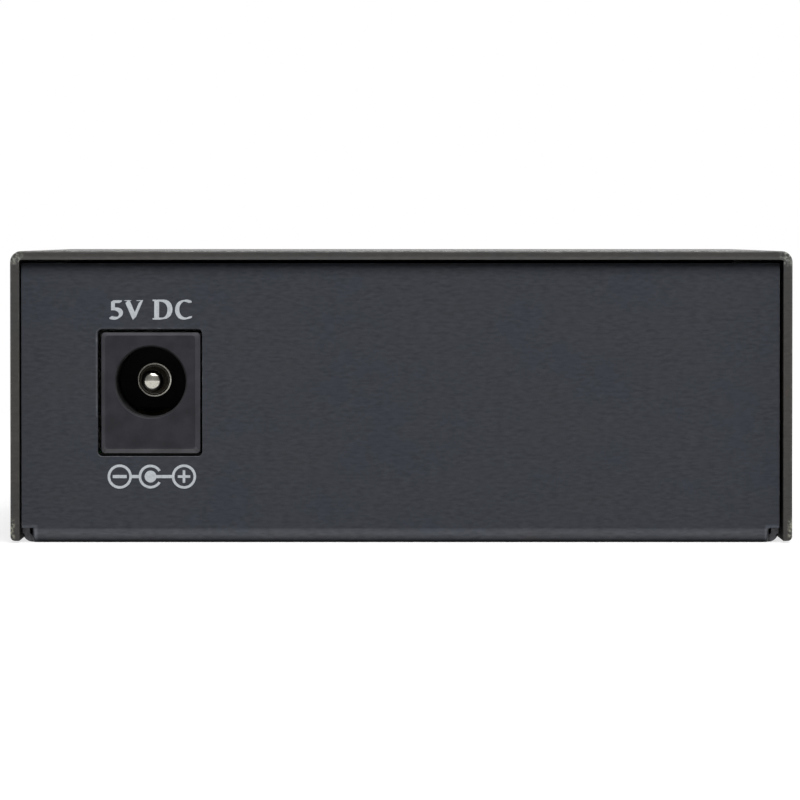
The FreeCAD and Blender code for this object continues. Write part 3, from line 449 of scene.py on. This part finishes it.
def soften(work, width, steps=2, edge_finish=0, stays_keen=None):
    """Rounds every sharp edge by a width, and those that stay keen by a small share of it."""
    sharp = [edge for edge in work.edges if math.degrees(edge.calc_face_angle(0)) > ROUNDED_FOLD]
    keen = [edge for edge in sharp if stays_keen is not None and stays_keen(edge)]
    full = [edge for edge in sharp if edge not in keen]
    for edges, offset in ((keen, KEEN_SHARE * width), (full, width)):
        edges = [edge for edge in edges if edge.is_valid]
        if edges:
            for face in bevelled(work, edges, offset, steps):
                face.material_index = edge_finish
    bmesh.ops.dissolve_degenerate(work, dist=0.0001 * MM, edges=work.edges)
    for face in work.faces:
        face.smooth = True
    return work


def evenly_shaded(piece):
    """Keeps flat faces flat to the light beside the rounded edges that they run into."""
    shading = piece.modifiers.new("shading", "WEIGHTED_NORMAL")
    shading.mode = "FACE_AREA"
    shading.weight = 50
    shading.keep_sharp = True
    return piece


def put_in_place_of(node_name, work, wears):
    """Replaces a CAD node by a finished piece of the same shape."""
    piece = add_piece(node_name + "_finished", work, wears)
    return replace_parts(evenly_shaded(piece), node_name)


def middle_of(edge):
    """The middle of an edge."""
    return (edge.verts[0].co + edge.verts[1].co) / 2


def flat_cross(work, half_span, half_arm):
    """Adds a flat cross of even arms, and gives back its verts."""
    made = bmesh.ops.create_grid(work, x_segments=3, y_segments=3, size=half_span)
    for vert in made["verts"]:
        for axis in (0, 1):
            if abs(vert.co[axis]) < 0.5 * half_span:
                vert.co[axis] = math.copysign(half_arm, vert.co[axis])
    faces = {face for vert in made["verts"] for face in vert.link_faces}
    corners = [face for face in faces if min(abs(face.calc_center_median()[axis]) for axis in (0, 1)) > half_arm]
    bmesh.ops.delete(work, geom=corners, context="FACES")
    return [vert for vert in made["verts"] if vert.is_valid]


def turned(work, middle, outline, steps=64):
    """Adds a piece turned about a line along the case, from an outline of radii and depths."""
    verts = [work.verts.new((middle[0] + radius, y, middle[1])) for radius, y in outline]
    edges = [work.edges.new(pair) for pair in zip(verts, verts[1:])]
    bmesh.ops.spin(work, geom=verts + edges, cent=(middle[0], 0, middle[1]), axis=(0, 1, 0),
                   angle=math.radians(360), steps=steps, use_merge=True)
    bmesh.ops.remove_doubles(work, verts=work.verts, dist=SAME_POINT)
    bmesh.ops.recalc_face_normals(work, faces=work.faces)


# ---- Cover ----

slot_level = 16.5 * MM
slots_half_height = 6.5 * MM
slots_half_length = 20 * MM


def is_slot_corner(edge):
    """Whether an edge is the square corner of an air slot in the cover's side."""
    a, b = (vert.co for vert in edge.verts)
    across = abs(a.y - b.y) < 0.01 * MM and abs(a.z - b.z) < 0.01 * MM
    among_slots = abs(a.y - case_middle_y) < slots_half_length and abs(a.z - slot_level) < slots_half_height
    return across and among_slots and abs(abs(a.x - b.x) - sheet) < 0.05 * MM


def is_inner_rim(edge):
    """Whether an edge is on the inside of the cover's end, round the panel."""
    middle = middle_of(edge)
    inside = abs(middle.x) < case_side - 0.6 * MM and middle.z < case_top - 0.6 * MM
    return inside and abs(middle.y) > case_end - 0.5 * MM


cover = merged_copy("top_cover", [("z", slot_level), ("z", screw_level)])
bevelled(cover, [edge for edge in cover.edges if is_slot_corner(edge)], 0.6 * MM, 5)
soften(cover, 0.15 * MM, 3, 1, is_inner_rim)
put_in_place_of("top_cover", cover, ["cover_paint", "cover_edge"])


# ---- Tray ----

lamp_window_half = 1.25 * MM
post_half = 2.5 * MM
panel_side = 34.2 * MM
bend_top = 1.9 * MM
beside_window = 0.4 * MM
window_half = 4.9 * MM
flange_inside = 33 * MM
flange_end_depth = 0.85 * MM
tray_cuts = [("z", screw_level), ("z", lamps_low.z + lamp_window_half), ("z", lamps_high.z - lamp_window_half),
             ("x", posts_low.x + post_half), ("x", posts_high.x - post_half)]


def is_panel_line(edge):
    """Whether a panel's edge runs along the cover, or is the foot or the right edge of the jack's window."""
    middle = middle_of(edge)
    along_cover = middle.z > tray_high.z - 0.5 * MM or (abs(middle.x) > panel_side and middle.z > bend_top)
    at_foot = abs(middle.z - jack_low.z) < beside_window and abs(middle.x - jack_x) < window_half
    at_right = abs(middle.x - jack_high.x) < beside_window and jack_low.z - beside_window < middle.z < jack_high.z
    return along_cover or (middle.y < 0 and (at_foot or at_right))


def is_flange_end(face):
    """Whether a face is the sheared end of a side flange, seen in a corner notch."""
    middle = face.calc_center_median()
    inside = abs(middle.x) > flange_inside and abs(middle.y) < panel_end - flange_end_depth
    return inside and abs(face.normal.y) > 0.9


tray = soften(merged_copy("base_tray", tray_cuts), 0.18 * MM, 3, 1, is_panel_line)
for face in tray.faces:
    if is_flange_end(face):
        face.material_index = 2
put_in_place_of("base_tray", tray, ["case_paint", "tray_edge", "sheared_edge"])


# ---- Cover screws ----


def cross_screw(work, place, outward, head_radius, shank_radius, length):
    """Adds a countersunk screw with a cross recess, its head level with a place and facing outward."""
    span, arm, depth, taper = 1.25 * MM, 0.26 * MM, 0.9 * MM, 0.45
    screw = bmesh.new()
    flat_cross(screw, span, arm)
    floor = screw.faces[:]
    sunk = raised_verts(bmesh.ops.extrude_face_region(screw, geom=floor))
    bmesh.ops.delete(screw, geom=floor, context="FACES_ONLY")
    bmesh.ops.delete(screw, geom=[edge for edge in screw.edges if not edge.link_faces], context="EDGES")
    bmesh.ops.scale(screw, vec=(taper, taper, 1), verts=sunk)
    bmesh.ops.translate(screw, vec=(0, 0, -depth), verts=sunk)
    rim = bmesh.ops.create_circle(screw, cap_ends=False, segments=40, radius=head_radius)
    loop = list({edge for vert in rim["verts"] for edge in vert.link_edges})
    mouth = [edge for edge in screw.edges if edge.is_boundary and edge not in loop]
    bmesh.ops.bridge_loops(screw, edges=mouth + loop)
    for radius, level in ((shank_radius, shank_radius - head_radius), (shank_radius, -length)):
        grown = bmesh.ops.extrude_edge_only(screw, edges=loop)
        ring = raised_verts(grown)
        loop = [item for item in grown["geom"] if isinstance(item, bmesh.types.BMEdge)
                and all(vert in ring for vert in item.verts)]
        for vert in ring:
            direction = Vector((vert.co.x, vert.co.y, 0)).normalized()
            vert.co = direction * radius + Vector((0, 0, level))
    bmesh.ops.contextual_create(screw, geom=loop)
    bmesh.ops.recalc_face_normals(screw, faces=screw.faces)
    for face in screw.faces:
        face.smooth = len(face.verts) == 4
    turn = Vector((0, 0, 1)).rotation_difference(outward).to_matrix().to_4x4()
    bmesh.ops.transform(screw, matrix=Matrix.Translation(place) @ turn, verts=screw.verts)
    put_in(work, screw)


screw_head_radius = (screw_high.z - screw_low.z) / 2
screw_shank_radius = 1.25 * MM
screw_length = 5 * MM
screws = bmesh.new()
for side, x in ((-1, screw_low.x), (1, screw_high.x)):
    for y in (screw_low.y + screw_head_radius, screw_high.y - screw_head_radius):
        cross_screw(screws, Vector((x, y, screw_level)), Vector((side, 0, 0)), screw_head_radius,
                    screw_shank_radius, screw_length)
cover_screws = add_piece("cover_screws_finished", screws, ["black_steel"])
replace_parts(cover_screws, "cover_screws")


# ---- Marks on the power end ----


def inked(work, film):
    """Gives a flat drawing, made in x and y, the thickness of its film of ink."""
    bmesh.ops.remove_doubles(work, verts=work.verts, dist=0.0001 * MM)
    bmesh.ops.recalc_face_normals(work, faces=work.faces)
    top = raised_verts(bmesh.ops.extrude_face_region(work, geom=work.faces[:]))
    bmesh.ops.translate(work, vec=(0, 0, film), verts=top)
    bmesh.ops.recalc_face_normals(work, faces=work.faces)
    return work


def printed(name, work):
    """Lays an inked drawing on the panel of the power end."""
    stand = Matrix.Translation((0, tray_low.y, 0)) @ Matrix.Rotation(math.radians(90), 4, "X")
    bmesh.ops.transform(work, matrix=stand, verts=work.verts)
    return add_piece(name, work, ["print_ink"])


def drawn_ring(work, x, z, radius, line, start=0, sweep=360):
    """Adds a ring about a middle radius, or part of one, by sweeping the width of its line."""
    ends = [work.verts.new((x + radius + across, z, 0)) for across in (-line / 2, line / 2)]
    width = work.edges.new(ends)
    middle = Vector((x, z, 0))
    bmesh.ops.rotate(work, cent=middle, matrix=Matrix.Rotation(math.radians(start), 3, "Z"), verts=ends)
    bmesh.ops.spin(work, geom=ends + [width], cent=middle, axis=(0, 0, 1), angle=math.radians(sweep),
                   steps=72, use_merge=sweep == 360)


def drawn_bar(work, left, right, z, height):
    """Adds a level bar."""
    made = bmesh.ops.create_grid(work, x_segments=1, y_segments=1, size=0.5)
    bmesh.ops.scale(work, vec=(right - left, height, 1), verts=made["verts"])
    bmesh.ops.translate(work, vec=((left + right) / 2, z, 0), verts=made["verts"])


symbol_z = 6.0 * MM
minus_x, centre_x, plus_x = jack_x - 2.83 * MM, jack_x - 0.03 * MM, jack_x + 3.01 * MM
ring_radius = 0.985 * MM
open_ring_radius = 0.98 * ring_radius
ring_line = 0.235 * MM
bar_line = 0.29 * MM
dot_radius = 0.54 * MM
minus_half = 0.64 * MM
plus_half = 0.57 * MM

rings = bmesh.new()
drawn_ring(rings, minus_x, symbol_z, ring_radius, ring_line)
drawn_ring(rings, centre_x, symbol_z, open_ring_radius, ring_line, 32, 296)
drawn_ring(rings, plus_x, symbol_z, ring_radius, ring_line)
dot = bmesh.ops.create_circle(rings, cap_ends=True, segments=40, radius=dot_radius)
bmesh.ops.translate(rings, vec=(centre_x, symbol_z, 0), verts=dot["verts"])
drawn_bar(rings, minus_x - minus_half, minus_x + minus_half, symbol_z, bar_line)
plus = flat_cross(rings, plus_half, ring_line / 2)
bmesh.ops.translate(rings, vec=(plus_x, symbol_z, 0), verts=plus)
printed("polarity_rings", inked(rings, 0.02 * MM))

links = bmesh.new()
drawn_bar(links, minus_x + ring_radius, centre_x - open_ring_radius, symbol_z, bar_line)
drawn_bar(links, centre_x + 0.9 * dot_radius, plus_x - ring_radius, symbol_z, bar_line)
printed("polarity_links", inked(links, 0.018 * MM))


def drawn_glyph(work, letter, x_span, z_span):
    """Adds one light character, stretched to fill its place."""
    curve = bpy.data.curves.new("glyph", "FONT")
    curve.body = letter
    curve.resolution_u = 6
    curve.offset = -0.021
    writer = bpy.data.objects.new("glyph", curve)
    bpy.context.scene.collection.objects.link(writer)
    bpy.context.view_layer.update()
    mesh = bpy.data.meshes.new_from_object(writer.evaluated_get(bpy.context.evaluated_depsgraph_get()))
    bpy.data.objects.remove(writer)
    bpy.data.curves.remove(curve)
    xs = [vert.co.x for vert in mesh.vertices]
    ys = [vert.co.y for vert in mesh.vertices]
    stretch = ((x_span[1] - x_span[0]) / (max(xs) - min(xs)), (z_span[1] - z_span[0]) / (max(ys) - min(ys)), 1)
    mesh.transform(Matrix.Diagonal((*stretch, 1)) @ Matrix.Translation((-min(xs), -min(ys), 0)))
    mesh.transform(Matrix.Translation((x_span[0], z_span[0], 0)))
    work.from_mesh(mesh)
    bpy.data.meshes.remove(mesh)


def pen_drawn(work, letter, x_span, z_span, nib, angle):
    """Adds a character drawn with a broad nib held at an angle, as light copies laid along the nib."""
    copies = 6
    reach_x, reach_z = nib * math.cos(math.radians(angle)), nib * math.sin(math.radians(angle))
    for copy in range(copies):
        share = copy / (copies - 1)
        shift_x, shift_z = reach_x * share, reach_z * share
        stroke = bmesh.new()
        drawn_glyph(stroke, letter, (x_span[0] + shift_x, x_span[1] - reach_x + shift_x),
                    (z_span[0] + shift_z, z_span[1] - reach_z + shift_z))
        put_in(work, inked(stroke, (0.02 - 0.0015 * copy) * MM))


# Each character has its left, right, foot and top, the width of its nib, and the nib's angle in degrees.
characters = {
    "5": (-3.77, -2.52, 20.26, 22.03, 0.25, 34),
    "V": (-2.31, -0.69, 20.2, 22.04, 0.35, 43),
    "D": (0.32, 1.975, 20.27, 22.09, 0.32, 10),
    "C": (2.21, 3.74, 20.27, 22.09, 0.26, 10),
}
# Each serif has its left, right, middle and height.
serif_bars = ((-2.4, -1.77, 21.995, 0.06), (-1.29, -0.69, 21.995, 0.06),
              (0.17, 0.5, 22.02, 0.14), (0.17, 0.5, 20.34, 0.14))

voltage = bmesh.new()
for letter, (left, right, foot, top, nib, angle) in characters.items():
    pen_drawn(voltage, letter, (jack_x + left * MM, jack_x + right * MM), (foot * MM, top * MM), nib * MM, angle)
serifs = bmesh.new()
for left, right, middle, height in serif_bars:
    drawn_bar(serifs, jack_x + left * MM, jack_x + right * MM, middle * MM, height * MM)
put_in(voltage, inked(serifs, 0.011 * MM))
printed("voltage_mark", voltage)


# ---- Jack ----

bore_zone = 3.6 * MM
bezel_half = 4.35 * MM
bezel_depth = 3.5 * MM
cad_chamfer = (0.25 * MM, 0.45 * MM)
chamfer_depth = 0.1 * MM
chamfer_height = 0.4 * MM
foot_rise, top_rise, right_inset = 0.15 * MM, 0.08 * MM, 0.1 * MM
shaded_foot = 0.08 * MM


def from_bore(place):
    """How far a place is from the middle line of the jack's bore."""
    return math.hypot(place.x - jack_x, place.z - jack_level)


def is_bezel_corner(edge):
    """Whether an edge is one of the four corners of the jack's bezel, its chamfer's mitres among them."""
    for vert in edge.verts:
        beside = abs(abs(vert.co.x - jack_x) - bezel_half) < 0.16 * MM
        above_or_below = min(abs(vert.co.z - jack_low.z), abs(vert.co.z - jack_high.z)) < 0.31 * MM
        if not (beside and above_or_below and vert.co.y < jack_low.y + bezel_depth):
            return False
    return abs(edge.verts[0].co.y - edge.verts[1].co.y) > 0.1 * MM


housing = merged_copy("jack_housing")
bevelled(housing, [edge for edge in housing.edges if is_bezel_corner(edge)], 0.28 * MM, 4)
for vert in housing.verts:
    depth = vert.co.y - jack_low.y
    if cad_chamfer[0] < depth < cad_chamfer[1]:
        vert.co.y = jack_low.y + chamfer_depth
    elif depth < 0.01 * MM and from_bore(vert.co) > bore_zone:
        vert.co.z += foot_rise if vert.co.z < jack_level else top_rise
        vert.co.x -= right_inset if vert.co.x > jack_x else 0
# The bezel's chamfers take a paler plastic, a painted highlight. Its bottom chamfer takes a paler one still, a painted
# reflection of the white floor. The inside of the bore takes a darker plastic, painted shade.
for face in housing.faces:
    middle = face.calc_center_median()
    outside = from_bore(middle) > bore_zone
    if -0.99 < face.normal.y < -0.4 and middle.y < jack_low.y + chamfer_height and outside:
        face.material_index = 2 if middle.z < jack_low.z + chamfer_height else 1
    if not outside and (face.normal.y > -0.99 or middle.y > jack_low.y + 1 * MM):
        face.material_index = 3
soften(housing, 0.06 * MM, 3, 1)
# The new rounded edges take the painted highlight too, except inside the bore. Along the very foot of the bezel they
# take the darker plastic, painted shade.
for face in housing.faces:
    middle = face.calc_center_median()
    if face.material_index == 1 and from_bore(middle) < bore_zone:
        face.material_index = 0
    elif face.material_index == 1 and middle.z < jack_low.z + shaded_foot:
        face.material_index = 3
put_in_place_of("jack_housing", housing, ["black_plastic", "edge_highlight_plastic", "foot_reflection_plastic", "shaded_bore_plastic"])

# The pin's outline, as radii and lengths in millimetres: its nose from its tip, and its collar from the bore's back.
pin_nose = ((0, 0), (0.2, 0.009), (0.4, 0.036), (0.6, 0.082), (0.75, 0.13), (0.86, 0.2), (0.92, 0.36),
            (0.97, 0.7), (1.0, 1.1))
pin_collar = ((1.0, 0.02), (1.26, 0.02), (1.26, 0.36), (1.31, 0.352), (1.31, 0.15), (1.43, 0.15), (1.43, 0.45),
              (1.55, 0.4385), (1.55, 0), (0.8, 0))
tail_radius = 0.8
bore_depth = 9.8 * MM
bore_back = jack_low.y + bore_depth
pin_middle = (jack_x, (pin_low.z + pin_high.z) / 2)
pin_outline = [(radius * MM, pin_low.y + length * MM) for radius, length in pin_nose]
pin_outline += [(radius * MM, bore_back - length * MM) for radius, length in pin_collar]
pin_outline += [(tail_radius * MM, pin_high.y), (0, pin_high.y)]


def is_shaded_collar_groove(middle):
    """Whether a face's middle is on the floor of the collar, or in its groove, which take the dark bronze as painted
    shade.
    """
    radius = math.hypot(middle.x - pin_middle[0], middle.z - pin_middle[1])
    in_ring = 1.03 * MM < radius < 1.25 * MM or 1.32 * MM < radius < 1.42 * MM
    return in_ring and middle.y > bore_back - 0.37 * MM


pin = bmesh.new()
turned(pin, pin_middle, pin_outline)
for face in pin.faces:
    face.smooth = True
    # The collar's floor and groove take the dark bronze: painted shade.
    if is_shaded_collar_groove(face.calc_center_median()):
        face.material_index = 1
centre_pin = add_piece("jack_centre_pin_finished", pin, ["plated_brass", "spring_bronze"])
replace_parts(centre_pin, "jack_centre_pin")

spring = soften(merged_copy("jack_spring_contact"), 0.05 * MM)
put_in_place_of("jack_spring_contact", spring, ["spring_bronze"])


# ---- Ports and lamps ----

# Pieces that only have their edges rounded, with the width in millimetres and the steps.
rounded_nodes = {
    "jack_shunt_contact": (0.05, 2), "network_port_body": (0.08, 2), "network_port_shield": (0.05, 2),
    "network_port_contacts": (0.06, 2), "transceiver_housing": (0.1, 2), "transceiver_lid": (0.08, 2),
    "fibre_sleeves": (0.1, 2), "fibre_latches": (0.08, 2), "indicator_lamps": (0.12, 3),
    "indicator_holders": (0.1, 2),
}
for node_name, (width, steps) in rounded_nodes.items():
    put_in_place_of(node_name, soften(merged_copy(node_name), width * MM, steps), [node_slots[node_name]])


# ---- Stage, light and camera ----


def white_to_the_eye(tree, surface, share=None):
    """Shows a surface or the world as plain white to the eye and in reflections, wholly or by a share."""
    path = tree.nodes.new("ShaderNodeLightPath")
    seen = path.outputs["Is Camera Ray"]
    for ray in ("Is Glossy Ray", "Is Transmission Ray"):
        seen = worked_out(tree, "MAXIMUM", seen, path.outputs[ray])
    if share is not None:
        seen = worked_out(tree, "MULTIPLY", seen, share)
    white = tree.nodes.new("ShaderNodeEmission" if surface.type != "BACKGROUND" else "ShaderNodeBackground")
    white.inputs["Color"].default_value = (1, 1, 1, 1)
    white.inputs["Strength"].default_value = 1.0
    mix = tree.nodes.new("ShaderNodeMixShader")
    tree.links.new(seen, mix.inputs["Fac"])
    tree.links.new(surface.outputs[0], mix.inputs[1])
    tree.links.new(white.outputs[0], mix.inputs[2])
    return mix.outputs["Shader"]


def whiteness(tree, beside):
    """How white the floor is shown: wholly far off, by a share beside the case, and not at all under it."""
    nearby = region(tree, [("side", 0.4, 0.15), ("end", 0.4, 0.15)])
    covered = region(tree, [("side", *inward(case_side, 1.6, 2.6)), ("end", *inward(case_end, 0.9, 1.9))])
    return worked_out(tree, "MULTIPLY", spread(tree, nearby, 0, 1, 1.0, beside), spread(tree, covered, 0, 1, 1.0, 0.0))


def stage_sheet(name, work, finish):
    """A flat studio sheet from a bmesh."""
    mesh = bpy.data.meshes.new(name)
    work.to_mesh(mesh)
    work.free()
    mesh.materials.append(finish)
    piece = bpy.data.objects.new(name, mesh)
    bpy.context.scene.collection.objects.link(piece)
    return piece


paper, paper_tree, paper_shader = new_finish("floor_paper")
sight = paper_tree.nodes.new("ShaderNodeLightPath").outputs["Is Camera Ray"]
paper_tone = tones(paper_tree, sight, [(0.0, (0.16, 0.16, 0.16)), (1.0, (0.95, 0.95, 0.95))])
paper_tree.links.new(paper_tone, paper_shader.inputs["Base Color"])
paper_shader.inputs["Roughness"].default_value = 0.9
paper_shader.inputs["Specular IOR Level"].default_value = 0.1
seen_paper = white_to_the_eye(paper_tree, paper_shader, whiteness(paper_tree, 0.7))
paper_tree.links.new(seen_paper, paper_tree.nodes["Material Output"].inputs["Surface"])
floor_half = 6.0
floor_work = bmesh.new()
bmesh.ops.create_grid(floor_work, x_segments=1, y_segments=1, size=floor_half)
floor = stage_sheet("floor", floor_work, paper)

world = bpy.data.worlds.new("studio")
bpy.context.scene.world = world
world.use_nodes = True
world_tree = world.node_tree
air = world_tree.nodes["Background"]
air.inputs["Color"].default_value = (1, 1, 1, 1)
air.inputs["Strength"].default_value = 0.04
world_tree.links.new(white_to_the_eye(world_tree, air), world_tree.nodes["World Output"].inputs["Surface"])


def soft_lamp(name, place, size, power):
    """A square soft lamp that looks at the part's middle."""
    lamp = bpy.data.lights.new(name, "AREA")
    lamp.shape = "SQUARE"
    lamp.size = size
    lamp.energy = power
    holder = bpy.data.objects.new(name, lamp)
    holder.location = place
    aim = Vector((0, 0, 0.013)) - Vector(place)
    holder.rotation_euler = aim.to_track_quat("-Z", "Y").to_euler()
    bpy.context.scene.collection.objects.link(holder)


soft_lamp("front_lamp", (0.16, -0.87, 0.89), 0.66, 21)
soft_lamp("left_lamp", (-0.7, -0.15, 0.3), 0.4, 1.8)
soft_lamp("right_lamp", (0.7, -0.1, 0.3), 0.4, 2.4)
soft_lamp("back_lamp", (0.1, 0.72, 0.42), 0.45, 4.5)

# A grey card behind the camera, for the pin's polished nose to reflect.
grey_card, _, card_shader = new_finish("grey_card")
card_shader.inputs["Base Color"].default_value = (0.75, 0.75, 0.75, 1)
card_half = 1.3
card_distance = 1.5
card_foot = 0.01
card_work = bmesh.new()
bmesh.ops.create_grid(card_work, x_segments=1, y_segments=1, size=card_half)
bmesh.ops.rotate(card_work, cent=(0, 0, 0), matrix=Matrix.Rotation(math.radians(90), 3, "X"), verts=card_work.verts)
bmesh.ops.translate(card_work, vec=(0, -card_distance, card_half + card_foot), verts=card_work.verts)
card = stage_sheet("card", card_work, grey_card)
card.visible_camera = False

camera_x = -0.12 * MM
camera_data = bpy.data.cameras.new("camera")
camera_data.lens = 297.6
camera_data.sensor_width = 36
camera = bpy.data.objects.new("camera", camera_data)
camera.location = (camera_x, cover_low.y - 0.6, 27.8 * MM)
aim_point = Vector((camera_x, cover_low.y, 12.985 * MM))
camera.rotation_euler = (aim_point - camera.location).to_track_quat("-Z", "Y").to_euler()
bpy.context.scene.collection.objects.link(camera)
bpy.context.scene.camera = camera
bpy.context.scene.view_settings.view_transform = "Standard"
